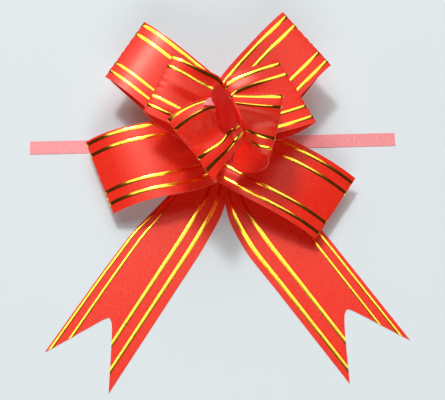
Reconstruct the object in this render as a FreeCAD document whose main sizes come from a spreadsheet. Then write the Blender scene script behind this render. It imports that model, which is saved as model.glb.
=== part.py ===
"""Pull bow: two wide ribbons gathered on two narrow pull ribbons, in millimetres.

The bow stands on the plane z = 0 with its hub over the origin, +X to the right, +Y to
the back and +Z up. The wide ribbons are joined at weld pads stacked up the hub. Each
stretch of ribbon between two pads is a loop, and the two cut ends lie as tails.
"""
import FreeCAD, Part
import math
import os
import re
import Sketcher

Vector = FreeCAD.Vector

# ---------------------------------------------------------------- driving dimensions

SIZES = {
    "ribbon_width": 30.0,
    "film": 0.2,  # thickness of the wide ribbons and of the pull ribbons
    "clearance": 0.3,  # between pieces that move apart
    # the hub: four ring pads, one above the other, with the pull ribbons through them
    "first_pad_height": 1.2,
    "pad_pitch": 5.5,
    "pad_thickness": 0.8,
    "pad_outer_radius": 6.0,
    "pad_hole_radius": 3.6,
    # the gathered root of every loop and tail
    "root_reach": 4.2,
    "root_width": 7.0,
    "tab_reach": 8.0,
    "tab_bend": 3.0,
    # the pull ribbons: threaded up the hub, then flat on the plane to both sides
    "pull_width": 5.5,
    "pull_bend": 1.0,
    "pull_angle": 1.5,
    "thread_offset": 1.0,
    "thread_spacing": 0.3,
    "thread_top": 33.0,
    "pull_left_length": 76.5,
    "pull_right_length": 66.4,
    # the swallowtails
    "tail_length": 107.5,
    "tail_root_height": 0.8,
    "tail_floor_reach": 13.0,
    "tail_root_width": 4.2,
    "tail_neck_reach": 14.5,
    "tail_neck_width": 15.2,
    "tail_full_reach": 72.0,
    "notch_depth": 25.0,
    "notch_round": 1.8,
    "tail_left_azimuth": -121.0,
    "tail_right_azimuth": -55.0,
    # the loops: heading, furthest reach, tip curve, and how the two sides flare out
    "front_left_azimuth": -158.5,
    "front_left_reach": 51.3,
    "front_left_tip_radius": 5.4,
    "front_left_tip_height": 6.6,
    "front_left_flare_angle_left": 50.0,
    "front_left_flare_angle_right": 27.0,
    "front_right_azimuth": -35.4,
    "front_right_reach": 54.3,
    "front_right_tip_radius": 5.4,
    "front_right_tip_height": 6.6,
    "front_right_flare_angle_left": 36.0,
    "front_right_flare_angle_right": 50.0,
    "back_left_azimuth": 141.7,
    "back_left_reach": 49.9,
    "back_left_tip_radius": 7.5,
    "back_left_tip_height": 14.0,
    "back_left_flare_angle_left": 27.0,
    "back_left_flare_angle_right": 44.0,
    "back_right_azimuth": 47.3,
    "back_right_reach": 49.3,
    "back_right_tip_radius": 7.5,
    "back_right_tip_height": 12.4,
    "back_right_flare_angle_left": 44.0,
    "back_right_flare_angle_right": 36.0,
    "middle_left_azimuth": 153.0,
    "middle_left_reach": 27.8,
    "middle_left_tip_radius": 6.5,
    "middle_left_tip_height": 27.0,
    "middle_left_flare_angle_left": 34.0,
    "middle_left_flare_angle_right": 50.0,
    "middle_right_azimuth": 23.5,
    "middle_right_reach": 31.4,
    "middle_right_tip_radius": 4.6,
    "middle_right_tip_height": 24.6,
    "middle_right_flare_angle_left": 50.0,
    "middle_right_flare_angle_right": 50.0,
    "top_left_azimuth": -134.0,
    "top_left_reach": 21.8,
    "top_left_tip_radius": 5.5,
    "top_left_tip_height": 32.0,
    "top_left_flare_angle_left": 50.0,
    "top_left_flare_angle_right": 34.0,
    "top_right_azimuth": -24.5,
    "top_right_reach": 22.2,
    "top_right_tip_radius": 5.5,
    "top_right_tip_height": 37.0,
    "top_right_flare_angle_left": 38.0,
    "top_right_flare_angle_right": 50.0,
    # the end weld: the fin where the two top loops meet
    "fin_length": 30.0,
    "fin_height": 3.0,
    "fin_thickness": 0.5,
    "fin_x": 2.7,
    "fin_y": -3.5,
    "fin_z": 37.5,
    "fin_azimuth": -54.0,
    "fin_tilt": 57.4,
    "fin_roll": -132.0,
    "top_left_seam_angle": 45.0,
    "top_right_seam_angle": 0.0,
}

# each loop and the number of the weld pad below it
LOOPS = {
    "front_left": 1,
    "front_right": 1,
    "back_left": 2,
    "back_right": 2,
    "middle_left": 3,
    "middle_right": 3,
    "top_left": 4,
    "top_right": 4,
}

doc = FreeCAD.newDocument("pull_bow")
sheet = doc.addObject("Spreadsheet::Sheet", "Sizes")


def fill_sheet():
    """Write one row for each driving dimension: its name, its value and its alias."""
    for number, (alias, value) in enumerate(SIZES.items(), start=1):
        sheet.set(f"A{number}", alias)
        sheet.set(f"B{number}", str(value))
        sheet.setAlias(f"B{number}", alias)
    doc.recompute()


def size(expression):
    """The value of an expression over the sheet's aliases, as a plain number."""
    found = sheet.evalExpression(expression)
    return float(getattr(found, "Value", found))


def bound(expression):
    """The same expression as an object outside the sheet writes it."""
    return re.sub(r"[a-z]+(_[a-z]+)+|film|clearance", r"Sizes.\g<0>", expression)


# ---------------------------------------------------------------- sketching helpers


def new_body(name):
    """A PartDesign body that carries the sub-part's own name."""
    body = doc.addObject("PartDesign::Body", name)
    body.Label = name
    return body


def new_sketch(body, name, plane):
    """A sketch on one of the body's own origin planes."""
    sketch = body.newObject("Sketcher::SketchObject", name)
    sketch.AttachmentSupport = [(find_plane(body, plane), "")]
    sketch.MapMode = "FlatFace"
    return sketch


def find_plane(body, plane):
    return next(f for f in body.Origin.OriginFeatures if f.Role == plane)


def drive(sketch, constraint, expression):
    """Add a dimension and bind it to the sheet."""
    index = sketch.addConstraint(constraint)
    sketch.setExpression(f"Constraints[{index}]", bound(expression))


def place_point(sketch, element, end, x, y):
    """Fix a point of an element at two expressions from the sketch's origin."""
    drive(sketch, Sketcher.Constraint("DistanceX", -1, 1, element, end, size(x)), x)
    drive(sketch, Sketcher.Constraint("DistanceY", -1, 1, element, end, size(y)), y)


def polygon(sketch, corners):
    """A closed outline of straight edges through corners given as expressions."""
    points = [Vector(size(x), size(y), 0) for x, y in corners]
    first = sketch.GeometryCount
    for start, end in zip(points, points[1:] + points[:1]):
        sketch.addGeometry(Part.LineSegment(start, end))
    for i, (x, y) in enumerate(corners):
        after = first + (i + 1) % len(corners)
        sketch.addConstraint(Sketcher.Constraint("Coincident", first + i, 2, after, 1))
        place_point(sketch, first + i, 1, x, y)


def tangent_line(from_turn, to_turn):
    """The ends of the straight run that leaves one turn and enters the next.

    A turn is (centre, radius, sense), with sense +1 for anticlockwise travel.
    """
    (start, start_radius, start_sense), (end, end_radius, end_sense) = from_turn, to_turn
    across = end - start
    offset = end_sense * end_radius - start_sense * start_radius
    run = math.sqrt(across.Length ** 2 - offset ** 2)
    along = Vector(
        (run * across.x + offset * across.y) / across.Length ** 2,
        (run * across.y - offset * across.x) / across.Length ** 2,
        0,
    )
    left = Vector(-along.y, along.x, 0)
    return start - left * start_sense * start_radius, end - left * end_sense * end_radius


def turn_arc(turn, start, end):
    """The arc of a turn from one point to another, as Sketcher draws it."""
    centre, radius, sense = turn
    angles = [math.atan2(p.y - centre.y, p.x - centre.x) for p in (start, end)]
    low, high = angles if sense > 0 else angles[::-1]
    if high < low:
        high += 2 * math.pi
    return Part.ArcOfCircle(Part.Circle(centre, Vector(0, 0, 1), radius), low, high)


def edge_chain(sketch, turns, start_x, end_x, end_sense, side):
    """One long edge of a band: level run, then turns joined by straight runs, level run.

    turns are (x, y, radius, sense) with expressions, side is +1 for the edge on the
    left of the travel. With end_x None the chain stops at the top of the last turn.
    """
    solved = []
    for x, y, radius, sense in turns:
        shift = -side * sense * size("film / 2")
        solved.append((Vector(size(x), size(y), 0), size(radius) + shift, sense))
    points = []
    centre, radius, sense = solved[0]
    entry = centre - Vector(0, 1, 0) * sense * radius
    points.append((Vector(size(start_x), entry.y, 0), entry))
    for one, two in zip(solved, solved[1:]):
        points.append(tangent_line(one, two))
    centre, radius, sense = solved[-1]
    leave = centre - Vector(0, end_sense, 0) * sense * radius
    if end_x is not None:
        points.append((leave, Vector(size(end_x), leave.y, 0)))

    first = sketch.GeometryCount
    for i, (begin, end) in enumerate(points):
        sketch.addGeometry(Part.LineSegment(begin, end))
        if i < len(solved):
            after = points[i + 1][0] if i + 1 < len(points) else leave
            sketch.addGeometry(turn_arc(solved[i], end, after))
    for i, (x, y, radius, sense) in enumerate(turns):
        line, arc = first + 2 * i, first + 2 * i + 1
        begin, finish = (1, 2) if sense > 0 else (2, 1)
        sketch.addConstraint(Sketcher.Constraint("Tangent", line, 2, arc, begin))
        if arc + 1 < sketch.GeometryCount:
            sketch.addConstraint(Sketcher.Constraint("Tangent", arc, finish, arc + 1, 1))
        place_point(sketch, arc, 3, x, y)
        sign = "-" if side * sense > 0 else "+"
        edge_radius = f"{radius} {sign} film / 2"
        drive(sketch, Sketcher.Constraint("Radius", arc, solved[i][1]), edge_radius)
    sketch.addConstraint(Sketcher.Constraint("Horizontal", first))
    drive(
        sketch,
        Sketcher.Constraint("DistanceX", -1, 1, first, 1, size(start_x)),
        start_x,
    )
    last = sketch.GeometryCount - 1
    if end_x is None:
        last_end = 2 if turns[-1][3] > 0 else 1
        drive(
            sketch,
            Sketcher.Constraint("DistanceX", -1, 1, last, last_end, leave.x),
            turns[-1][0],
        )
        return (first, points[0][0]), (last, last_end, leave)
    sketch.addConstraint(Sketcher.Constraint("Horizontal", last))
    drive(sketch, Sketcher.Constraint("DistanceX", -1, 1, last, 2, size(end_x)), end_x)
    return (first, points[0][0]), (last, 2, points[-1][1])


def band(sketch, turns, start_x, end_x, end_sense):
    """The side outline of a ribbon: two parallel chains closed at both ends."""
    ends = [edge_chain(sketch, turns, start_x, end_x, end_sense, side) for side in (1, -1)]
    (left_start, left_end), (right_start, right_end) = ends
    sketch.addGeometry(Part.LineSegment(left_start[1], right_start[1]))
    cap = sketch.GeometryCount - 1
    sketch.addConstraint(Sketcher.Constraint("Coincident", cap, 1, left_start[0], 1))
    sketch.addConstraint(Sketcher.Constraint("Coincident", cap, 2, right_start[0], 1))
    sketch.addGeometry(Part.LineSegment(left_end[2], right_end[2]))
    cap += 1
    sketch.addConstraint(Sketcher.Constraint("Coincident", cap, 1, *left_end[:2]))
    sketch.addConstraint(Sketcher.Constraint("Coincident", cap, 2, *right_end[:2]))


def pad_across(body, name, sketch, width):
    """Pad a side outline to both sides of its plane, over a width in all."""
    pad = body.newObject("PartDesign::Pad", name)
    pad.Profile = sketch
    pad.SideType = "Symmetric"
    pad.setExpression("Length", bound(width))
    sketch.Visibility = False
    return pad


def cut_through(body, name, sketch):
    """Pocket an outline on the ground plane through everything above and below it."""
    before = body.Tip
    doc.recompute()
    volume = before.Shape.Volume
    pocket = body.newObject("PartDesign::Pocket", name)
    pocket.Profile = sketch
    pocket.SideType = "Symmetric"
    pocket.Type = "ThroughAll"
    doc.recompute()
    if not pocket.Shape.Volume < volume:
        raise RuntimeError(f"{body.Label}: {name} cuts nothing")


def turn_to(body, azimuth):
    """Turn a finished body about the hub to its azimuth."""
    body.Placement.Rotation = FreeCAD.Rotation(Vector(0, 0, 1), size(azimuth))
    body.setExpression(".Placement.Rotation.Angle", bound(azimuth))


# ---------------------------------------------------------------- the hub


def pad_bottom(number):
    """Height of the underside of weld pad number 1 to 4, as an expression."""
    return f"first_pad_height + {number - 1} * pad_pitch"


def lower_film(number):
    """Middle of the film that leaves the hub just above a pad."""
    return f"{pad_bottom(number)} + pad_thickness + clearance + film / 2"


def upper_film(number):
    """Middle of the film that comes back to the hub just below the next pad."""
    return f"{pad_bottom(number + 1)} - clearance - film / 2"


def weld_pad(number):
    """A ring of melted film round the pull ribbons."""
    body = new_body(f"weld_pad_{number}")
    sketch = new_sketch(body, f"ring_{number}", "XY_Plane")
    for radius in ("pad_outer_radius", "pad_hole_radius"):
        circle = Part.Circle(Vector(0, 0, 0), Vector(0, 0, 1), size(radius))
        index = sketch.addGeometry(circle)
        sketch.addConstraint(Sketcher.Constraint("Coincident", index, 3, -1, 1))
        drive(sketch, Sketcher.Constraint("Radius", index, size(radius)), radius)
    pad = body.newObject("PartDesign::Pad", f"ring_pad_{number}")
    pad.Profile = sketch
    pad.setExpression("Length", bound("pad_thickness"))
    body.setExpression(".Placement.Base.z", bound(pad_bottom(number)))
    return body


def pull_ribbon(side, sense, wall, length):
    """The flat stretch that runs out along the plane, as a box turned about the hub."""
    body = new_body(f"pull_ribbon_{side}")
    sketch = new_sketch(body, f"run_{side}", "XY_Plane")
    start = f"({wall}) + {sense} * pull_bend"
    end = f"{start} + {sense} * {length}"
    half = "pull_width / 2"
    polygon(sketch, [(start, f"-{half}"), (end, f"-{half}"), (end, half), (start, half)])
    pad = body.newObject("PartDesign::Pad", f"run_pad_{side}")
    pad.Profile = sketch
    pad.setExpression("Length", bound("film"))
    turn_to(body, "pull_angle")
    return body


def threaded_strip(side, sense, wall):
    """The stretch of the same ribbon that goes up through the pads, with its bend."""
    body = new_body(f"threaded_strip_{side}")
    sketch = new_sketch(body, f"thread_{side}", "XZ_Plane")
    outer, inner = "pull_bend", "(pull_bend - film)"
    centre = (f"({wall}) + {sense} * pull_bend", "pull_bend")
    middle = Vector(size(centre[0]), size(centre[1]), 0)
    down = Vector(0, -1, 0)
    back = Vector(-sense, 0, 0)
    top_outer = Vector(size(wall), size("thread_top"), 0)
    top_inner = top_outer - back * size("film")
    walls = []
    for radius, top in ((outer, top_outer), (inner, top_inner)):
        side_point = middle + back * size(radius)
        foot_point = middle + down * size(radius)
        line = sketch.addGeometry(Part.LineSegment(top, side_point))
        turn = (middle, size(radius), sense)
        arc = sketch.addGeometry(turn_arc(turn, side_point, foot_point))
        begin, finish = (1, 2) if sense > 0 else (2, 1)
        sketch.addConstraint(Sketcher.Constraint("Tangent", line, 2, arc, begin))
        sketch.addConstraint(Sketcher.Constraint("Vertical", line))
        place_point(sketch, arc, 3, *centre)
        drive(sketch, Sketcher.Constraint("Radius", arc, size(radius)), radius)
        drive(
            sketch,
            Sketcher.Constraint("DistanceX", -1, 1, arc, finish, middle.x),
            centre[0],
        )
        drive(
            sketch,
            Sketcher.Constraint("DistanceY", -1, 1, line, 1, size("thread_top")),
            "thread_top",
        )
        walls.append((line, arc, finish, top, foot_point))
    for end, point in ((1, 3), (None, 4)):
        cap = sketch.addGeometry(Part.LineSegment(walls[0][point], walls[1][point]))
        for cap_end, (line, arc, finish, _, _) in enumerate(walls, start=1):
            element = (line, 1) if end == 1 else (arc, finish)
            sketch.addConstraint(Sketcher.Constraint("Coincident", cap, cap_end, *element))
    pad_across(body, f"thread_pad_{side}", sketch, "pull_width")
    turn_to(body, "pull_angle")
    return body


# ---------------------------------------------------------------- loops and tails


def root_taper(body, name):
    """Cut both sides of the root back to the gathered width, opening at a flare."""
    for side, sense in (("left", 1), ("right", -1)):
        sketch = new_sketch(body, f"gather_{name}_{side}", "XY_Plane")
        narrow = f"{sense} * root_width / 2"
        wide = f"{sense} * (ribbon_width / 2 + clearance)"
        rise = "(ribbon_width / 2 + clearance - root_width / 2)"
        start = "root_reach - clearance"
        full = f"tab_reach + {rise} / tan({name}_flare_angle_{side} * 1 deg)"
        polygon(sketch, [(start, narrow), ("tab_reach", narrow), (full, wide), (start, wide)])
        cut_through(body, f"gather_cut_{name}_{side}", sketch)


def loop_turns(name, number):
    """The lower tab's bend and the tip's bend, as (x, y, radius, sense)."""
    tip = f"{name}_reach - {name}_tip_radius - film / 2"
    low, height = lower_film(number), f"{name}_tip_height"
    rises = size(f"{height} - {name}_tip_radius") > size(low)
    sense = 1 if rises else -1
    lower = ("tab_reach", f"{low} + {sense} * tab_bend", "tab_bend", sense)
    return [lower, (tip, height, f"{name}_tip_radius", 1)]


def loop(name, number):
    """A loop of ribbon from the pad below round its tip to the pad above."""
    body = new_body(f"loop_{name}")
    sketch = new_sketch(body, f"side_{name}", "XZ_Plane")
    turns = loop_turns(name, number)
    turns.append(("tab_reach", f"{upper_film(number)} + tab_bend", "tab_bend", -1))
    band(sketch, turns, "root_reach", "root_reach", -1)
    pad_across(body, f"ribbon_{name}", sketch, "ribbon_width")
    root_taper(body, name)
    turn_to(body, f"{name}_azimuth")
    return body


def fin_frame():
    """The end weld's own axes: its centre, down along its length, and out of the seam."""
    tilt, azimuth, roll = (
        math.radians(size(angle)) for angle in ("fin_tilt", "fin_azimuth", "fin_roll")
    )
    heading = Vector(math.cos(azimuth), math.sin(azimuth), 0)
    down = heading * math.cos(tilt) - Vector(0, 0, 1) * math.sin(tilt)
    up = heading * math.sin(tilt) + Vector(0, 0, 1) * math.cos(tilt)
    out = up * math.cos(roll) + down.cross(up) * math.sin(roll)
    centre = Vector(size("fin_x"), size("fin_y"), size("fin_z"))
    return centre, down, out


def end_weld():
    """The fin where the ends of the two top loops are welded face to face."""
    body = new_body("end_weld")
    sketch = new_sketch(body, "fin_outline", "XY_Plane")
    half_length, half_height = "fin_length / 2", "fin_height / 2"
    corners = [
        (f"-{half_length}", f"-{half_height}"),
        (half_length, f"-{half_height}"),
        (half_length, half_height),
        (f"-{half_length}", half_height),
    ]
    polygon(sketch, corners)
    pad_across(body, "fin_pad", sketch, "fin_thickness")
    centre, down, out = fin_frame()
    rotation = FreeCAD.Rotation(down, out, down.cross(out), "XYZ")
    body.Placement = FreeCAD.Placement(centre, rotation)
    for axis in "xyz":
        body.setExpression(f".Placement.Base.{axis}", bound(f"fin_{axis}"))
    return body


def section_sketch(body, name, centre, across, travel):
    """The ribbon's own cross-section, centred on a point, in the body's own frame."""
    sketch = new_sketch(body, name, "XY_Plane")
    rotation = FreeCAD.Rotation(across, travel.cross(across), travel, "XYZ")
    sketch.AttachmentOffset = FreeCAD.Placement(centre, rotation)
    half_width, half_film = "ribbon_width / 2", "film / 2"
    corners = [
        (f"-{half_width}", f"-{half_film}"),
        (half_width, f"-{half_film}"),
        (half_width, half_film),
        (f"-{half_width}", half_film),
    ]
    polygon(sketch, corners)
    return sketch


def twist(start, finish, share):
    """A section part of the way along a leg that bends and twists, as it sets out.

    start and finish are (centre, across, travel). The leg leaves and arrives along
    travel, so the ribbon stays a sheet of even thickness while it turns.
    """
    (one, across, leaving), (two, down, arriving) = start, finish
    span = (two - one).Length
    centre = (
        one * (2 * share ** 3 - 3 * share ** 2 + 1)
        + leaving * span * (share ** 3 - 2 * share ** 2 + share)
        + two * (3 * share ** 2 - 2 * share ** 3)
        + arriving * span * (share ** 3 - share ** 2)
    )
    heading = (
        (two - one) * (6 * share - 6 * share ** 2)
        + leaving * span * (3 * share ** 2 - 4 * share + 1)
        + arriving * span * (3 * share ** 2 - 2 * share)
    )
    width = across * (1 - share) + down * share
    width.normalize()
    heading -= width * width.dot(heading)
    heading.normalize()
    return centre, width, heading


def top_loop(name, number, side):
    """A top loop: its upper leg twists from the tip to its side of the end weld."""
    body = new_body(f"loop_{name}")
    sketch = new_sketch(body, f"side_{name}", "XZ_Plane")
    turns = loop_turns(name, number)
    band(sketch, turns, "root_reach", None, -1)
    pad_across(body, f"ribbon_{name}", sketch, "ribbon_width")
    root_taper(body, name)

    to_local = FreeCAD.Rotation(Vector(0, 0, 1), size(f"{name}_azimuth")).inverted()
    fin_centre, down, out = fin_frame()
    face = down.cross(out) * side
    seam = fin_centre + face * size("fin_thickness / 2 + clearance")
    seam -= out * size("fin_height / 2 - film")
    turn = math.radians(size(f"{name}_seam_angle"))
    travel = out * math.sin(turn) - face * math.cos(turn)
    down, travel, seam = (to_local.multVec(vector) for vector in (down, travel, seam))
    across = Vector(0, 1, 0) if down.y > 0 else Vector(0, -1, 0)
    tip_x, tip_height, tip_radius, _ = turns[1]
    top = Vector(size(tip_x), 0, size(f"{tip_height} + {tip_radius}"))
    start, finish = (top, across, Vector(-1, 0, 0)), (seam, down, travel)
    first = section_sketch(body, f"tip_{name}", *start)
    sections = [
        section_sketch(body, f"twist_{name}_{step}", *twist(start, finish, step / 4))
        for step in (1, 2, 3)
    ]
    sections.append(section_sketch(body, f"seam_{name}", *finish))
    doc.recompute()
    loft = body.newObject("PartDesign::AdditiveLoft", f"twist_{name}")
    loft.Profile = first
    loft.Sections = sections
    loft.Ruled = True
    turn_to(body, f"{name}_azimuth")
    return body


def tail(side):
    """A cut end of ribbon: from the lowest pad down to the plane, with a swallowtail."""
    body = new_body(f"tail_{side}")
    sketch = new_sketch(body, f"side_tail_{side}", "XZ_Plane")
    high, bend = "tail_root_height", "tab_bend"
    turns = [
        ("root_reach + clearance", f"{high} - {bend}", bend, -1),
        ("tail_floor_reach", f"film / 2 + {bend}", bend, 1),
    ]
    band(sketch, turns, "root_reach", "tail_length", 1)
    pad_across(body, f"ribbon_tail_{side}", sketch, "ribbon_width")
    for edge, sense in (("left", 1), ("right", -1)):
        cut = new_sketch(body, f"neck_{side}_{edge}", "XY_Plane")
        outside = f"{sense} * (ribbon_width / 2 + clearance)"
        corners = [
            ("root_reach - clearance", f"{sense} * tail_root_width / 2"),
            ("root_reach", f"{sense} * tail_root_width / 2"),
            ("tail_neck_reach", f"{sense} * tail_neck_width / 2"),
            ("tail_full_reach", f"{sense} * ribbon_width / 2"),
            ("tail_full_reach", outside),
            ("root_reach - clearance", outside),
        ]
        polygon(cut, corners)
        cut_through(body, f"neck_cut_{side}_{edge}", cut)
    swallowtail(body, side)
    turn_to(body, f"tail_{side}_azimuth")
    return body


def swallowtail(body, side):
    """The notch: a wedge open at the cut end, with a rounded root on the centre line."""
    sketch = new_sketch(body, f"notch_{side}", "XY_Plane")
    mouth, half = "tail_length + clearance", "ribbon_width / 2"
    slope = math.atan2(size(half), size(mouth) - size("tail_length - notch_depth"))
    root = Vector(size("tail_length - notch_depth + notch_round"), 0, 0)
    radius = size("notch_round")
    touch = Vector(-math.sin(slope), math.cos(slope), 0) * radius
    lower_touch = Vector(touch.x, -touch.y, 0)
    upper = Vector(size(mouth), size(half), 0)
    lower = Vector(size(mouth), -size(half), 0)
    top = sketch.addGeometry(Part.LineSegment(upper, root + touch))
    arc = sketch.addGeometry(turn_arc((root, radius, 1), root + touch, root + lower_touch))
    bottom = sketch.addGeometry(Part.LineSegment(root + lower_touch, lower))
    end = sketch.addGeometry(Part.LineSegment(lower, upper))
    sketch.addConstraint(Sketcher.Constraint("Tangent", top, 2, arc, 1))
    sketch.addConstraint(Sketcher.Constraint("Tangent", arc, 2, bottom, 1))
    sketch.addConstraint(Sketcher.Constraint("Coincident", bottom, 2, end, 1))
    sketch.addConstraint(Sketcher.Constraint("Coincident", end, 2, top, 1))
    drive(sketch, Sketcher.Constraint("Radius", arc, radius), "notch_round")
    place_point(sketch, arc, 3, "tail_length - notch_depth + notch_round", "0 * film")
    place_point(sketch, top, 1, mouth, half)
    place_point(sketch, end, 1, mouth, f"-{half}")
    cut_through(body, f"notch_cut_{side}", sketch)


# ---------------------------------------------------------------- build and write


def build():
    """Make every sub-part and return them."""
    fill_sheet()
    left_wall = "thread_offset + film"
    right_wall = f"{left_wall} + thread_spacing"
    parts = [weld_pad(number) for number in (1, 2, 3, 4)]
    parts.append(threaded_strip("left", -1, left_wall))
    parts.append(threaded_strip("right", 1, right_wall))
    parts.append(pull_ribbon("left", -1, left_wall, "pull_left_length"))
    parts.append(pull_ribbon("right", 1, right_wall, "pull_right_length"))
    parts += [tail(side) for side in ("left", "right")]
    for name, number in LOOPS.items():
        if name.startswith("top"):
            parts.append(top_loop(name, number, -1 if name == "top_left" else 1))
        else:
            parts.append(loop(name, number))
    parts.append(end_weld())
    doc.recompute()
    return parts


def check(parts):
    """Stop if anything in the document failed or a sub-part is not one closed solid."""
    for item in doc.Objects:
        if "Invalid" in item.State or "Error" in item.State:
            raise RuntimeError(f"{item.Name} failed: {item.State}")
    for part in parts:
        shape = part.Shape
        if shape.isNull() or not shape.isValid() or len(shape.Solids) != 1:
            raise RuntimeError(f"{part.Label} is not one valid solid")


def write(parts):
    """Write each sub-part to a file with its own name."""
    os.makedirs("parts", exist_ok=True)
    for part in parts:
        part.Shape.exportStep(os.path.join("parts", f"{part.Label}.step"))
        box = part.Shape.BoundBox
        print(f"{part.Label:22s} {part.Shape.Volume:9.2f} mm3  z {box.ZMin:6.2f} to {box.ZMax:6.2f}")


sub_parts = build()
check(sub_parts)
write(sub_parts)
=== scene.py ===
"""Looks of the pull bow: satin film, hot-stamped gold lines, welds and narrow pull ribbons.

Lengths are millimetres until a mesh is made. The hub stands over the origin, +X is right,
+Y is back and +Z is up. A ribbon is a grid of points: rows go along it, columns across it.
"""
import math

import bpy
import numpy as np
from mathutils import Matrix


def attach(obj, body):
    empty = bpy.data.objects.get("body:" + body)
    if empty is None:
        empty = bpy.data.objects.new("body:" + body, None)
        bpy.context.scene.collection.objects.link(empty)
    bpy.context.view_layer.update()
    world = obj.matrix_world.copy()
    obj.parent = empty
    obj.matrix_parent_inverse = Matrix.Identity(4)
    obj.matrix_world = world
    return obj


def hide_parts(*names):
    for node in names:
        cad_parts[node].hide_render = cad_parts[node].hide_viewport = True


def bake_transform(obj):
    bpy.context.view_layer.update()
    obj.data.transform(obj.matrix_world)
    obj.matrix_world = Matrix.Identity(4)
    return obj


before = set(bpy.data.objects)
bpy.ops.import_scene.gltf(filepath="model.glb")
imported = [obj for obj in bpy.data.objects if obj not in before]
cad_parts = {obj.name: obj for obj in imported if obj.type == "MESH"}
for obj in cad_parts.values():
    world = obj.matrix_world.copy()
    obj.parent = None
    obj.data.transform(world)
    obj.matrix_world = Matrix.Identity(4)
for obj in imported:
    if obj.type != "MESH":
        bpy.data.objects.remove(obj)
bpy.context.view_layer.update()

# ------------------------------------------------------------------------------ camera
# Seen from above the tails, steeply enough that the loops show their printed sides.

camera_data = bpy.data.cameras.new("camera")
camera_data.lens = 108.3
camera_data.sensor_width = 36
camera = bpy.data.objects.new("camera", camera_data)
camera.location = (0.0002, -0.2169, 0.4869)
camera.rotation_euler = (math.radians(21.6), 0, 0)
bpy.context.scene.collection.objects.link(camera)
bpy.context.scene.camera = camera
bpy.context.scene.view_settings.view_transform = "Standard"

# ------------------------------------------------------------------------ pull ribbons
# Two narrow ribbons of the same film, dyed pink. They were slit from a wide roll, leave the
# hub under the lowest weld and lie pulled tight, cut off square at their far ends.

MM = 0.001
FILM = 0.2  # shown thickness of every film, so that its cut edge can be seen
PULL_WIDTH = 5.5
PULL_TURN = math.radians(1.5)  # the pair lies this much off the X axis
PULL_ENDS = {"left": (0.2, -76.3), "right": (2.5, 68.9)}
FLAKE_SIZE = 0.435  # real flakes are finer, and these are coarse enough to show
GLOSS_PATCH = 11.1  # size of the patches in which the gloss differs


def colour(text):
    """An sRGB hex colour as the linear RGBA that Blender's sockets take."""
    values = [int(text[i : i + 2], 16) / 255 for i in (1, 3, 5)]
    linear = [v / 12.92 if v <= 0.04045 else ((v + 0.055) / 1.055) ** 2.4 for v in values]
    return (*linear, 1.0)


def add(material, kind, inputs, **settings):
    """One shader node: settings are its properties, inputs its values and its links."""
    tree = material.node_tree
    node = tree.nodes.new(kind)
    for name, value in settings.items():
        setattr(node, name, value)
    for name, value in inputs.items():
        if isinstance(value, bpy.types.NodeSocket):
            tree.links.new(value, node.inputs[name])
        else:
            node.inputs[name].default_value = value
    return node


def satin_film(name, deep, light, rough):
    """Polypropylene film with a pearl pigment, extruded and drawn.

    The pigment's flakes give fine light specks and a soft gloss that wanders a little
    along the ribbon.
    """
    material = bpy.data.materials.new(name)
    material.use_nodes = True
    shader = material.node_tree.nodes["Principled BSDF"]
    links = material.node_tree.links
    place = add(material, "ShaderNodeTexCoord", {}).outputs["Object"]
    flakes = add(
        material,
        "ShaderNodeTexNoise",
        {"Vector": place, "Scale": 1 / (FLAKE_SIZE * MM), "Detail": 2.0},
    )
    clouds = add(
        material,
        "ShaderNodeTexNoise",
        {"Vector": place, "Scale": 1 / (GLOSS_PATCH * MM), "Detail": 3.0},
    )
    share = add(
        material,
        "ShaderNodeMapRange",
        {"Value": flakes.outputs["Fac"], "From Min": 0.3, "From Max": 0.8},
    )
    tint = add(
        material,
        "ShaderNodeMix",
        {0: share.outputs["Result"], 6: colour(deep), 7: colour(light)},
        data_type="RGBA",
    )
    gloss = add(
        material,
        "ShaderNodeMapRange",
        {"Value": clouds.outputs["Fac"], "To Min": rough - 0.05, "To Max": rough + 0.07},
    )
    grain = add(
        material,
        "ShaderNodeBump",
        {"Height": flakes.outputs["Fac"], "Distance": 0.00003, "Strength": 0.12},
    )
    links.new(tint.outputs[2], shader.inputs["Base Color"])
    links.new(gloss.outputs["Result"], shader.inputs["Roughness"])
    links.new(grain.outputs["Normal"], shader.inputs["Normal"])
    shader.inputs["IOR"].default_value = 1.49
    shader.inputs["Specular IOR Level"].default_value = 0.5
    shader.inputs["Specular Tint"].default_value = colour("#FFC8B4")
    return material


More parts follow.
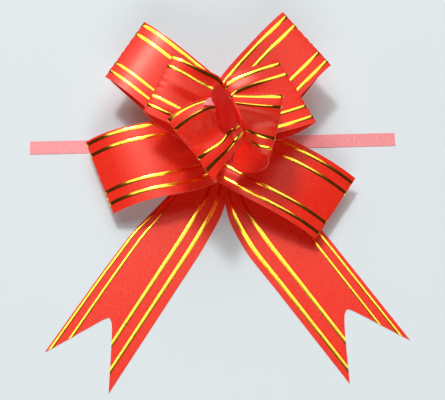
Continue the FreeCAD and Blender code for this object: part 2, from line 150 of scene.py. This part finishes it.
def sheet_mesh(name, grid, thickness, materials, rise=0.0):
    """A closed thin solid about a grid of points, with its rim in the last material.

    Each point of the grid is moved along the surface's normal by rise plus and minus half
    the thickness. The normal is the cross product of the grid's two differences.
    """
    normals = np.cross(np.gradient(grid, axis=0), np.gradient(grid, axis=1))
    normals /= np.maximum(np.linalg.norm(normals, axis=2, keepdims=True), 1e-9)
    rows, width = grid.shape[:2]
    count = rows * width
    points = [grid + normals * (rise + side * thickness / 2) for side in (1, -1)]
    points = np.concatenate([p.reshape(-1, 3) for p in points]) * MM
    index = np.arange(count).reshape(rows, width)
    a, b = index[:-1, :-1].ravel(), index[1:, :-1].ravel()
    c, d = index[1:, 1:].ravel(), index[:-1, 1:].ravel()
    top = np.stack([a, b, c, d], axis=1)
    loop = np.concatenate([index[:, 0], index[-1, 1:], index[-2::-1, -1], index[0, -2:0:-1]])
    ahead = np.roll(loop, -1)
    rim = np.stack([ahead, loop, loop + count, ahead + count], axis=1)
    faces = np.concatenate([top, top[:, ::-1] + count, rim])
    mesh = bpy.data.meshes.new(name)
    mesh.from_pydata(points.tolist(), [], faces.tolist())
    for material in materials:
        mesh.materials.append(material)
    on_rim = np.arange(len(faces)) >= 2 * len(top)
    mesh.polygons.foreach_set("use_smooth", ~on_rim)
    mesh.polygons.foreach_set("material_index", on_rim * (len(materials) - 1))
    ends = np.empty(2 * len(mesh.edges), np.int32)
    mesh.edges.foreach_get("vertices", ends)
    ends = ends.reshape(-1, 2)
    edge_of = np.isin(ends, np.concatenate([loop, loop + count])).all(axis=1)
    gap = np.abs(ends[:, 0] - ends[:, 1])
    mesh.edges.foreach_set("use_edge_sharp", edge_of & (gap != count))
    mesh.update()
    piece = bpy.data.objects.new(name, mesh)
    bpy.context.scene.collection.objects.link(piece)
    return piece


PINK = satin_film("pink_satin_film", "#F48790", "#FFB0B4", 0.4)

for side, (start, end) in PULL_ENDS.items():
    ends = [np.array([x * math.cos(PULL_TURN), x * math.sin(PULL_TURN), 0.1]) for x in (start, end)]
    across = np.array([-math.sin(PULL_TURN), math.cos(PULL_TURN), 0]) * PULL_WIDTH / 2
    along = np.linspace(0, 1, 60)[:, None, None]
    grid = ends[0] * (1 - along) + ends[1] * along + across * np.linspace(-1, 1, 9)[:, None]
    ribbon = sheet_mesh(f"pull_film_{side}", grid, FILM, [PINK])
    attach(ribbon, "hub")
    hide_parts(f"pull_ribbon_{side}")

# ------------------------------------------------------------------------------- welds
# The ribbons are welded together in stacked pads up the hub, and once more along the seam
# at the top. A weld's red is painted darker than the film's, with few light specks: painted shade,
# as the pads and the leaf stand in shade.

# darker red than the film's: painted shade
WELD_IN_PAINTED_SHADE = satin_film("welded_red_film_in_painted_shade", "#EE0602", "#F61208", 0.34)
NODE_FINISHES = {
    WELD_IN_PAINTED_SHADE: ["weld_pad_1", "weld_pad_2", "weld_pad_3", "weld_pad_4"],
    PINK: ["threaded_strip_left", "threaded_strip_right"],
}
for finish, names in NODE_FINISHES.items():
    for name in names:
        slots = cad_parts[name].data.materials
        slots.clear()
        slots.append(finish)

# ------------------------------------------------------------------------------- tails
# The cut ends of the two wide ribbons. They lie flat, widen from the pinched root, and are
# cut to a swallowtail. Two pairs of gold lines run along each, stamped by a hot wheel.

HALF_WIDTH = 15.0
LINE_WIDTH = 1.3
LINE_GAP = 0.03  # keeps a line's underside clear of the film
LINE_CROWN = 0.05  # how high a line's middle stands, so that it catches a glint
FOIL_THICKNESS = 0.05
NICK_SIZE = 0.667  # where the foil did not take
FOIL_WAVE = 6.25  # the foil is as uneven as the film that it is pressed on
ROOT_REACH = 4.4  # from the hub's axis to where a tail comes out of the weld
TAIL_LIFT = {"left": 0.0, "right": 0.45}  # near the hub the right tail lies on the left one
LYING = 0.12  # middle of a film that lies on the table
# middles of the gold lines across a ribbon, from its centre line: the two rolls differ
LEFT_LINES = (-13.6, -9.0, 6.5, 11.2)
RIGHT_LINES = (-12.5, -7.5, 7.5, 12.5)
# heading; (distances, half widths) of the left edge and of the right one; reach of the two
# points; where the notch ends, along and across
TAILS = {
    "left": (
        -121.0,
        ((4.4, 6, 12, 20, 28, 44, 120), (2.6, 5.0, 9.8, 14.2, 15.9, 16.6, 16.1)),
        ((4.4, 14, 33, 50, 72, 120), (2.3, 4.2, 6.9, 10.4, 11.7, 13.2)),
        (108.3, 107.2),
        (81.2, 1.0),
    ),
    "right": (
        -55.0,
        ((4.4, 14, 33, 54, 76, 120), (2.3, 4.2, 7.2, 10.8, 11.1, 11.7)),
        ((4.4, 8, 13.5, 20.5, 28.5, 43.4, 62, 120), (2.4, 4.5, 8.6, 13.2, 16.8, 18.8, 18.1, 16.8)),
        (106.6, 107.0),
        (81.0, -1.0),
    ),
}


def hot_stamped_gold():
    """Vacuum-coated gold foil, pressed on hot: a bright mirror with a few tiny nicks."""
    material = bpy.data.materials.new("hot_stamped_gold_foil")
    material.use_nodes = True
    shader = material.node_tree.nodes["Principled BSDF"]
    links = material.node_tree.links
    place = add(material, "ShaderNodeTexCoord", {}).outputs["Object"]
    nicks = add(
        material,
        "ShaderNodeTexNoise",
        {"Vector": place, "Scale": 1 / (NICK_SIZE * MM), "Detail": 2.0},
    )
    waves = add(
        material,
        "ShaderNodeTexNoise",
        {"Vector": place, "Scale": 1 / (FOIL_WAVE * MM), "Detail": 1.0},
    )
    share = add(
        material,
        "ShaderNodeMapRange",
        {"Value": nicks.outputs["Fac"], "From Min": 0.28, "From Max": 0.4},
    )
    tint = add(
        material,
        "ShaderNodeMix",
        {0: share.outputs["Result"], 6: colour("#B06A14"), 7: colour("#FFCB40")},
        data_type="RGBA",
    )
    uneven = add(
        material,
        "ShaderNodeBump",
        {"Height": waves.outputs["Fac"], "Distance": 0.0002, "Strength": 0.08},
    )
    links.new(tint.outputs[2], shader.inputs["Base Color"])
    links.new(uneven.outputs["Normal"], shader.inputs["Normal"])
    shader.inputs["Metallic"].default_value = 1.0
    shader.inputs["Roughness"].default_value = 0.17
    return material


RED = satin_film("red_satin_film", "#F61007", "#FF4A32", 0.31)
# The film's cut rim is painted pale pink: a painted rim light, standing in for light that shows
# through the thin edge.
CUT_EDGE_PAINTED_RIM_LIGHT = satin_film("cut_edge_painted_rim_light", "#FF8A7C", "#FFB6AC", 0.5)
GOLD = hot_stamped_gold()


def smoothstep(low, high, x):
    """0 below low, 1 above high, and 3u² - 2u³ between."""
    u = np.clip((np.asarray(x, float) - low) / (high - low), 0, 1)
    return u * u * (3 - 2 * u)


def columns(lines):
    """Places across the ribbon, with one at each side of every gold line.

    The rest are spread evenly, more closely along the middle, where a tail is notched.
    """
    places = {-HALF_WIDTH, HALF_WIDTH}
    for middle in lines:
        places |= {middle - LINE_WIDTH / 2, middle + LINE_WIDTH / 2}
    closest = 0.45
    for extra in (*np.linspace(-2.8, 2.8, 9), *np.linspace(-HALF_WIDTH, HALF_WIDTH, 17)):
        if min(abs(extra - p) for p in places) > closest:
            places.add(float(extra))
    return np.array(sorted(places))


def gold_lines(name, grid, places, lines, side):
    """The gold lines of one ribbon, each a low rounded ridge on its printed face.

    Across a line, the points go straight from one side to the other and rise by a sine.
    """
    share = np.array([0, 0.14, 0.32, 0.5, 0.68, 0.86, 1.0])[:, None]
    normals = np.cross(np.gradient(grid, axis=0), np.gradient(grid, axis=1))
    normals /= np.maximum(np.linalg.norm(normals, axis=2, keepdims=True), 1e-9)
    pieces = []
    for middle in lines:
        one, two = (int(np.argmin(abs(places - middle - s * LINE_WIDTH / 2))) for s in (-1, 1))
        strip = grid[:, one, None] * (1 - share) + grid[:, two, None] * share
        lift = side * (FILM / 2 + LINE_GAP + LINE_CROWN * np.sin(math.pi * share))
        strip = strip + normals[:, (one + two) // 2, None] * lift
        pieces.append(sheet_mesh(f"{name}_{middle:.0f}", strip, FOIL_THICKNESS, [GOLD]))
    bpy.ops.object.select_all(action="DESELECT")
    for piece in pieces:
        piece.select_set(True)
    bpy.context.view_layer.objects.active = pieces[0]
    bpy.ops.object.join()
    pieces[0].name = pieces[0].data.name = name
    return pieces[0]


def dress(node, grid, places, lines, side):
    """One stretch of wide ribbon and its gold lines, baked into world space.

    The CAD part that they replace is hidden.
    """
    film = sheet_mesh(f"film_of_{node}", grid, FILM, [RED, CUT_EDGE_PAINTED_RIM_LIGHT])
    gold = gold_lines(f"gold_of_{node}", grid, places, lines, side)
    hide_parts(node)
    for piece in (film, gold):
        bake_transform(piece)


def tail_grid(azimuth, left, right, tips, notch, lift, places, rows=110):
    """A tail lying flat, cut to a swallowtail at its end.

    Every column runs out to the cut, which falls from each point to the notch in a straight
    line with a rounded bottom. The half width follows the table, eased over 8 mm. Near the
    hub the tail that lies on the other one is lifted clear of it.
    """
    rounding = 0.1  # of the notch's bottom, as a share of the half width
    share = places / HALF_WIDTH
    off = share - notch[1] / HALF_WIDTH
    slant = np.sqrt(off**2 + rounding**2)
    reach = np.where(off > 0, tips[0], tips[1])
    edge = np.where(off > 0, 1 - notch[1] / HALF_WIDTH, 1 + notch[1] / HALF_WIDTH)
    cut = reach - (reach - notch[0]) * np.clip(1 - slant / edge, 0, 1)
    out = ROOT_REACH + np.linspace(0, 1, rows)[:, None] * (cut[None] - ROOT_REACH)
    wide = [
        np.mean([np.interp(out + shift, *table) for shift in np.linspace(-4, 4, 9)], axis=0)
        for table in (left, right)
    ]
    span = np.where(share[None] > 0, *wide) * share[None]
    climb = 0.7 * (1 - smoothstep(5, 14, out))  # up into the lowest weld
    height = LYING + climb + lift * (1 - smoothstep(26, 36, out))
    heading = math.radians(azimuth)
    x = out * math.cos(heading) - span * math.sin(heading)
    y = out * math.sin(heading) + span * math.cos(heading)
    return np.stack([x, y, height], axis=2)


for side, (azimuth, left, right, tips, notch) in TAILS.items():
    lines = LEFT_LINES if side == "left" else RIGHT_LINES
    places = columns(lines)
    grid = tail_grid(azimuth, left, right, tips, notch, TAIL_LIFT[side], places)
    dress(f"tail_{side}", grid, places, lines, 1)

# ------------------------------------------------------------------------ the six loops
# Each stretch between two welds stands out as a loop. It leaves one weld, runs out to a
# pressed tip and comes back over itself to the next weld, 3.9 mm higher. The film is
# pleated into the weld, so near the hub its edges stand up in shallow folds.

PAD_PITCH = 5.5
FIRST_FILM = 2.4  # middle of the film that leaves the hub above the lowest weld
LOOP_GAP = 3.9  # between the two films of one loop at the hub
LOOP_ROOT = 4.2  # from the hub's axis to where a loop comes out of the weld
PLEAT_END = 6.0  # from the hub's axis to where the pressed pleats let go
ROOT_HALF = 3.5  # half the ribbon's width where it is pleated into the weld
CREASE = 0.45  # width of the rounding at a pressed tip
FOLD_HEIGHT = 0.35
CRUMPLE = 0.06  # for each layer up the hub, as the upper loops are more crumpled
BODY = {1: "front_layer", 2: "back_layer", 3: "middle_layer", 4: "top_layer"}
# layer; left and right end of the crease at the tip; upper and lower leg (slope at the tip in
# degrees, how far it carries, where the leg levels out, its height there, how high it stands
# above the weld just outside it); for each leg its left and its right gather (where it opens,
# how slowly, how much the edge stands up); sway of the upper leg's middle to the left
LOOPS = {
    "front_left": (
        1,
        ((-42.0, -32.2, 5.5), (-53.9, -1.8, 5.5)),
        ((32, 15, 24, 11.2, 0.3), (-14, 12, 24, 1.0, 0)),
        (((2.2, 1.3, 0.0), (4.5, 5.0, 0.0)), ((7, 14, 0), (7, 14, 0))),
        2.6,
    ),
    "front_right": (
        1,
        ((52.2, -17.3, 5.5), (36.0, -42.4, 5.5)),
        ((22, 17, 22, 12.2, 1.4), (-14, 12, 24, 1.0, 0)),
        (((4.5, 5.0, 0.0), (2.2, 1.3, 0.0)), ((7, 14, 0), (7, 14, 0))),
        -2.6,
    ),
    "back_left": (
        2,
        ((-47.7, 20.4, 14.0), (-31.4, 47.2, 14.0)),
        ((24, 13, 24, 15.2, 0.7), (-24, 12, 22, 9.0, 1.0)),
        (((7, 14, 0), (4, 3.2, 0.2)), ((7, 16, 0), (7, 9, 0))),
        0.0,
    ),
    "back_right": (
        2,
        ((24.5, 50.1, 17.0), (43.9, 26.5, 15.0)),
        ((15, 13, 24, 16.0, 1.6), (-44, 12, 24, 4.8, 0.6)),
        (((4, 3.6, 0.2), (6, 9, 0)), ((7, 9, 0), (7, 14, 0))),
        0.0,
    ),
    "middle_left": (
        3,
        ((-30.2, 2.2, 25.5), (-19.0, 25.2, 28.0)),
        ((14, 8, 12, 26.2, 7.0), (-50, 9, 15, 16.0, 1.6)),
        (((4, 4.0, 0), (3, 2.0, 0.1)), ((4.5, 4, 0), (7, 7, 0))),
        0.0,
    ),
    "middle_right": (
        3,
        ((21.7, 24.6, 25.5), (36.2, -0.6, 22.0)),
        ((12, 9, 12, 26.0, 8.0), (-40, 9, 16, 16.6, 1.9)),
        (((3, 2.0, 0.1), (4, 4.0, 0)), ((5, 4, 0), (5, 5, 0))),
        0.0,
    ),
}


def bezier(*guides, count=200):
    """Points on the cubic Bezier curve of four guide points."""
    u = np.linspace(0, 1, count)[:, None]
    one, two, three, four = (np.asarray(p, float) for p in guides)
    v = 1 - u
    return v**3 * one + 3 * u * v**2 * two + 3 * u**2 * v * three + u**3 * four


def resampled(line, places):
    """Points at the given distances along a line of points."""
    run = np.concatenate([[0], np.cumsum(np.linalg.norm(np.diff(line, axis=0), axis=1))])
    return np.stack([np.interp(places, run, line[:, k]) for k in range(line.shape[1])], axis=1)


def creased(lower, upper, crease, rows):
    """One line from two legs that meet at a pressed tip, and which rows are the upper leg.

    The line is averaged with a Gaussian of width crease, and its rows crowd at the tip.
    """
    line = np.concatenate([lower, upper[1:]])
    run = np.linalg.norm(np.diff(line, axis=0), axis=1)
    tip = run[: len(lower) - 1].sum()
    step = 0.1
    fine = np.arange(0, run.sum(), step)
    line = resampled(line, fine)
    reach = int(round(3 * crease / step))
    kernel = np.exp(-0.5 * (np.arange(-reach, reach + 1) * step / crease) ** 2)
    kernel /= kernel.sum()
    before, after = 2 * line[0] - line[reach:0:-1], 2 * line[-1] - line[-2 : -reach - 2 : -1]
    padded = np.concatenate([before, line, after])
    line = np.stack([np.convolve(p, kernel, mode="valid") for p in padded.T], axis=1)
    places = np.linspace(0, fine[-1], rows)
    near = tip + np.linspace(-1, 1, 17) ** 3 * 3.0
    places = np.unique(np.concatenate([places[np.abs(places - tip) > 3.1], near]))
    return np.stack([np.interp(places, fine, p) for p in line.T], axis=1), places > tip


def gathered_width(out, opens, slowness):
    """Half the ribbon's width in plan: ROOT_HALF in the weld, nearing HALF_WIDTH by exp."""
    soft = 0.7
    past = soft * np.log1p(np.exp(np.clip((out - opens) / soft, -30, 30)))
    return HALF_WIDTH - (HALF_WIDTH - ROOT_HALF) * np.exp(-past / slowness)


def crumpled(grid, tip, places, amount):
    """The grid with small crumples along the row of its tip, where the film was pressed.

    Each column is pushed out or in by a sum of two sines across the ribbon, 3.3 mm and
    1.5 mm long, faded over 2.5 mm to each side of the tip by exp(-u²).
    """
    away = grid[tip] - 0.5 * (grid[tip - 12] + grid[tip + 12])
    away /= np.linalg.norm(away, axis=1, keepdims=True)
    fade = np.exp(-((np.linalg.norm(grid - grid[tip], axis=2) / 2.5) ** 2))
    wave = np.sin(1.9 * places + tip) + 0.6 * np.sin(4.1 * places + 1)
    return grid + amount * (fade * wave)[..., None] * away


def loop_grid(level, ends, legs, gathers, sway, places, rows=130):
    """The middle surface of a loop: a side view carried across the ribbon's width.

    The side view is two Bezier legs that meet at the crease. Each row is a straight line
    across, turned to the crease's own heading away from the hub, and its ends stand up where
    the film is narrower in plan than it is wide.
    """
    low = FIRST_FILM + (level - 1) * PAD_PITCH
    left_end, right_end = (np.array(e, float) for e in ends)
    tip = (left_end + right_end) / 2
    reach = math.hypot(tip[0], tip[1])
    heading = math.atan2(tip[1], tip[0])
    sides = []
    for (slope, carry, ease_at, ease_height, shoulder), root in zip(legs, (low + LOOP_GAP, low)):
        angle = math.radians(slope)
        lead = (reach - carry * math.cos(angle), tip[2] + carry * math.sin(angle))
        leg = bezier((reach, tip[2]), lead, (ease_at, ease_height), (PLEAT_END, root + shoulder))
        into_weld = [(PLEAT_END - 1.2, root + 0.4 * shoulder), (LOOP_ROOT, root)]
        sides.append(np.concatenate([leg, into_weld]))
    line, is_upper = creased(sides[1][::-1], sides[0], CREASE, rows)
    out, height = line.T
    # the rows turn from square on at the hub to the crease's own heading
    away = smoothstep(PLEAT_END, 0.85 * reach, out)
    crease = left_end - right_end
    skew = math.atan2(crease[1], crease[0]) - heading - math.pi / 2
    skew = (skew + math.pi) % (2 * math.pi) - math.pi
    across = heading + math.pi / 2 + skew * away
    stretch = 1 + (np.linalg.norm(crease) / 2 / HALF_WIDTH - 1) * smoothstep(5, 18, out)
    share = places / HALF_WIDTH
    widths, stands = [], []
    for side in (0, 1):
        over, under = (gathered_width(out, *gathers[leg][side][:2]) for leg in (0, 1))
        wide = np.where(is_upper, over, under)
        stand = np.where(is_upper, gathers[0][side][2], gathers[1][side][2])
        stands.append(stand * np.sqrt(HALF_WIDTH**2 - wide**2) * smoothstep(4.5, 8, out))
        widths.append(wide * stretch)
    is_left = share[None] > 0
    span = np.where(is_left, widths[0][:, None], widths[1][:, None]) * share[None]
    stand = np.where(is_left, stands[0][:, None], stands[1][:, None])
    bow = np.where(is_upper, sway, 0) * smoothstep(3, 7, out) * (1 - smoothstep(14, reach, out))
    x = out[:, None] * math.cos(heading) + span * np.cos(across)[:, None]
    y = out[:, None] * math.sin(heading) + span * np.sin(across)[:, None]
    x = x - bow[:, None] * math.sin(heading)
    y = y + bow[:, None] * math.cos(heading)
    tilt = crease[2] / math.hypot(crease[0], crease[1]) * away
    z = height[:, None] + span * tilt[:, None] + stand * np.abs(share[None]) ** 1.6
    # shallow folds fade in past the pleats and are gone by 26 mm out
    pinch = smoothstep(6.5, 11, out) * (1 - smoothstep(13, 26, out))
    folds = np.cos(share * 2.5 * math.pi + 0.6 * level) + 0.35 * np.cos(share * 17 + level)
    z = z + (FOLD_HEIGHT * pinch)[:, None] * folds[None]
    tip_row = int(np.argmax(is_upper)) - 1
    return crumpled(np.stack([x, y, z], axis=2), tip_row, places, CRUMPLE * level)


for name, (level, ends, legs, gathers, sway) in LOOPS.items():
    lines = LEFT_LINES if name.endswith("left") else RIGHT_LINES
    places = columns(lines)
    grid = loop_grid(level, ends, legs, gathers, sway, places)
    dress(f"loop_{name}", grid, places, lines, -1)

# -------------------------------------------------------------------------- top loops
# The last stretch of each wide ribbon. Its upper leg twists as it comes back, and the two
# ends are welded face to face, so they stand up as a narrow ridge with a leaf at the back.

TOP_CREASE = 0.4
TOP_CRUMPLE = 0.25
# heading; places of the guide points across the ribbon; rows of guide points of the lower leg,
# going out, then of the upper leg, from its tip back to the end weld. Going away from the hub,
# a row runs from the ribbon's right side to its left side
TOP_LOOPS = {
    "left": (
        -125.0,
        (-15, -8.5, 0, 8, 15),
        [
            [
                (-17.5, -3, 27.6), (-14.5, -8, 25), (-9.5, -13.5, 23.5),
                (-5, -19.5, 23.5), (-1.5, -25.5, 23.5),
            ],
        ],
        [
            [
                (-20.7, -6, 36.5), (-17.2, -11.5, 37.2), (-12.4, -16.4, 34.5),
                (-7.9, -22.3, 33), (-3.3, -29.3, 31.5),
            ],
            [
                (-14.4, -2, 38), (-11.2, -7.2, 39.2), (-5.9, -12.4, 34.5),
                (-2, -17.4, 33.5), (-0.6, -24.6, 31.5),
            ],
            [
                (-8.7, 0.1, 39), (-6.5, -4.7, 40), (-2.6, -9.5, 34.3),
                (1.5, -14, 33), (3.3, -18.8, 30.5),
            ],
            [(-3.4, 0.9, 40), (-3.4, -3.6, 40), (-0.9, -7.4, 34), (3, -12, 33.5), (6.4, -14.8, 30)],
            [(-1.6, 1.2, 40), (-1, -3.4, 39.5), (3, -7.4, 38), (7.1, -9.8, 37), (8.1, -12.3, 30)],
        ],
    ),
    "right": (
        -22.0,
        (-15, -9, 0, 8, 15),
        [
            [(4.5, -17.5, 16.5), (7.4, -11.5, 18.5), (9.5, -4.5, 25.5), (9.4, 1, 28), (9.4, 6, 29)],
            [
                (15.0, -19.4, 19.0), (16.2, -14.8, 21.5), (17.8, -6.5, 28),
                (18.6, -0.8, 30.5), (19.6, 5, 32),
            ],
        ],
        [
            [
                (17.1, -18.2, 30.5), (18.9, -15, 33), (21, -8.2, 37),
                (21.9, -4.2, 40.5), (22.9, 2.7, 40),
            ],
            [
                (12.3, -16.6, 30), (12.8, -13.4, 33.5), (14, -7.8, 38.4),
                (13.5, -4.4, 42.5), (13, 1.5, 41.8),
            ],
            [
                (8.4, -11.8, 29.6), (7.8, -9.8, 33), (7.2, -6.8, 38.6),
                (5.2, -3.8, 43.5), (3.8, 0.6, 43.4),
            ],
        ],
    ),
}


def smooth_path(points, count):
    """Evenly spaced points on a natural cubic spline through the given points."""
    points = np.asarray(points, float)
    gaps = np.linalg.norm(np.diff(points, axis=0), axis=1)
    knots = np.concatenate([[0], np.cumsum(gaps)])
    n = len(points)
    system, wanted = np.eye(n), np.zeros_like(points)
    slopes = np.diff(points, axis=0) / gaps[:, None]
    for i in range(1, n - 1):
        system[i, i - 1 : i + 2] = gaps[i - 1], 2 * (gaps[i - 1] + gaps[i]), gaps[i]
        wanted[i] = 6 * (slopes[i] - slopes[i - 1])
    bend = np.linalg.solve(system, wanted)
    fine = np.linspace(0, knots[-1], 40 * n)
    i = np.clip(np.searchsorted(knots, fine, side="right") - 1, 0, n - 2)
    h = gaps[i][:, None]
    u, v = (knots[i + 1] - fine)[:, None], (fine - knots[i])[:, None]
    line = (bend[i] * u**3 + bend[i + 1] * v**3) / (6 * h)
    line += (points[i] / h - bend[i] * h / 6) * u + (points[i + 1] / h - bend[i + 1] * h / 6) * v
    length = np.linalg.norm(np.diff(line, axis=0), axis=1).sum()
    return resampled(line, np.linspace(0, length, count))


def spread(row, knots, places):
    """A row of guide points, given at knots across the ribbon, at every column's place."""
    fine = smooth_path(np.concatenate([np.array(knots)[:, None], np.array(row)], axis=1), 200)
    return np.stack([np.interp(places, fine[:, 0], fine[:, k]) for k in (1, 2, 3)], axis=1)


def top_grid(azimuth, knots, lower, upper, places, rows=120):
    """A top loop: splines through the guide rows, from the hub to the tip and back."""
    low = FIRST_FILM + 3 * PAD_PITCH
    heading = math.radians(azimuth)
    out = np.array([math.cos(heading), math.sin(heading), 0])
    side = np.array([-math.sin(heading), math.cos(heading), 0])
    share = places[:, None] / HALF_WIDTH
    roots = [
        out * reach + np.array([0, 0, low + rise]) + side * share * half
        for reach, half, rise in ((LOOP_ROOT, ROOT_HALF, 0), (6.8, 3.8, 0.05))
    ]
    lower = roots + [spread(row, knots, places) for row in lower]
    upper = [spread(row, knots, places) for row in upper]
    lower.append(upper[0])
    grid = np.empty((rows, len(places), 3))
    half = rows // 2
    for column in range(len(places)):
        under = smooth_path([row[column] for row in lower], 200)
        over = smooth_path([row[column] for row in upper], 200)
        line, _ = creased(under, over, TOP_CREASE, 400)
        # every column keeps its tip on the same row
        tip = int(np.argmin(np.linalg.norm(line - under[-1], axis=1)))
        first = np.linspace(0, tip, half)
        second = np.linspace(tip, len(line) - 1, rows - half + 1)[1:]
        where = np.concatenate([first, second])
        grid[:, column] = np.stack(
            [np.interp(where, np.arange(len(line)), p) for p in line.T], axis=1
        )
    return crumpled(grid, half - 1, places, TOP_CRUMPLE)


for side, (azimuth, knots, lower, upper) in TOP_LOOPS.items():
    lines = LEFT_LINES if side == "left" else tuple(-line for line in LEFT_LINES[::-1])
    places = columns(lines)
    grid = top_grid(azimuth, knots, lower, upper, places)
    dress(f"loop_top_{side}", grid, places, lines, -1)

# --------------------------------------------------------------------------- end weld
# The leaf at the back of the ridge, where both ribbon ends are welded face to face and
# left standing. It is stiffer than the film, a little cupped, and bare of gold.

# left edge, middle and right edge of the leaf, from its foot up to its rounded top
LEAF = [
    [(0.2, -9.6, 35.6), (2.6, -10.2, 36.6), (5.3, -10.2, 37.4)],
    [(-2.4, -5, 38), (0.9, -6, 40.8), (4.8, -6.2, 42.3)],
    [(-3.7, -0.2, 41), (-0.7, -1.9, 44.4), (3.0, -2.6, 46.5)],
    [(-3.3, 1.3, 45.6), (-1.6, 0.4, 47.9), (0.2, 0.2, 49.2)],
    [(-2.3, 1.7, 49.4), (-1.9, 1.6, 49.8), (-1.6, 1.5, 49.9)],
]
across = np.linspace(-1, 1, 13)
rows = [spread(row, (-1, 0, 1), across) for row in LEAF]
grid = np.stack([smooth_path(column, 40) for column in zip(*rows)], axis=1)
# The leaf takes the weld's darker red, which is painted shade.
leaf = sheet_mesh("leaf_of_end_weld", grid, 2 * FILM, [WELD_IN_PAINTED_SHADE])
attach(leaf, BODY[4])
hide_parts("end_weld")

# The end of the left pull ribbon comes out beside the leaf, cut short and slanting.
TAB = [
    [(-2.2, -2.6, 40.3), (-2.2, 0.4, 40.3)],
    [(-4.6, -2.7, 40.9), (-4.2, 0.4, 40.8)],
    [(-7.0, -2.6, 41.2), (-5.2, 0.1, 41.1)],
]
sides = [smooth_path([row[k] for row in TAB], 24) for k in (0, 1)]
grid = np.stack([sides[0] * (1 - u) + sides[1] * u for u in np.linspace(0, 1, 7)], axis=1)
tab = sheet_mesh("end_of_pull_ribbon", grid, FILM, [PINK])
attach(tab, BODY[4])

# --------------------------------------------------------------------- floor and light
# A pale table top, a large window above and behind it with the sun in it, and the light of
# the room from the viewer's side and from both ends.

bpy.ops.mesh.primitive_plane_add(size=6, location=(0, 0, 0))
floor = bpy.context.object
floor.name = "floor"
paint = bpy.data.materials.new("pale_table_top")
paint.use_nodes = True
paint.node_tree.nodes["Principled BSDF"].inputs["Base Color"].default_value = colour("#E4EFF1")
paint.node_tree.nodes["Principled BSDF"].inputs["Roughness"].default_value = 0.7
floor.data.materials.append(paint)


def area_light(name, azimuth, elevation, distance, size, power, tint):
    """A rectangular light that faces the object from a direction given in degrees."""
    data = bpy.data.lights.new(name, "AREA")
    data.shape = "RECTANGLE"
    data.size, data.size_y = size
    data.energy = power
    data.color = colour(tint)[:3]
    light = bpy.data.objects.new(name, data)
    a, e = math.radians(azimuth), math.radians(elevation)
    ahead = (math.cos(e) * math.cos(a), math.cos(e) * math.sin(a), math.sin(e))
    light.location = [distance * v for v in ahead]
    light.rotation_euler = (math.pi / 2 - e, 0, a + math.pi / 2)
    bpy.context.scene.collection.objects.link(light)
    return light


lights = [
    area_light("sun", 108, 54, 3.0, (0.45, 0.45), 35.0, "#FFFFFF"),
    area_light("window", 97, 51, 2.2, (2.6, 2.1), 35.0, "#F6FBFF"),
    area_light("room_behind_viewer", -90, 32, 1.8, (1.4, 0.6), 11.0, "#FFFFFF"),
    area_light("side_left", 190, 15, 1.6, (0.8, 0.4), 1.6, "#FFF4EC"),
    area_light("side_right", -20, 15, 1.6, (0.8, 0.4), 1.6, "#FFF4EC"),
]
world = bpy.data.worlds.new("room")
bpy.context.scene.world = world
world.use_nodes = True
world.node_tree.nodes["Background"].inputs["Color"].default_value = colour("#E09478")
world.node_tree.nodes["Background"].inputs["Strength"].default_value = 0.08
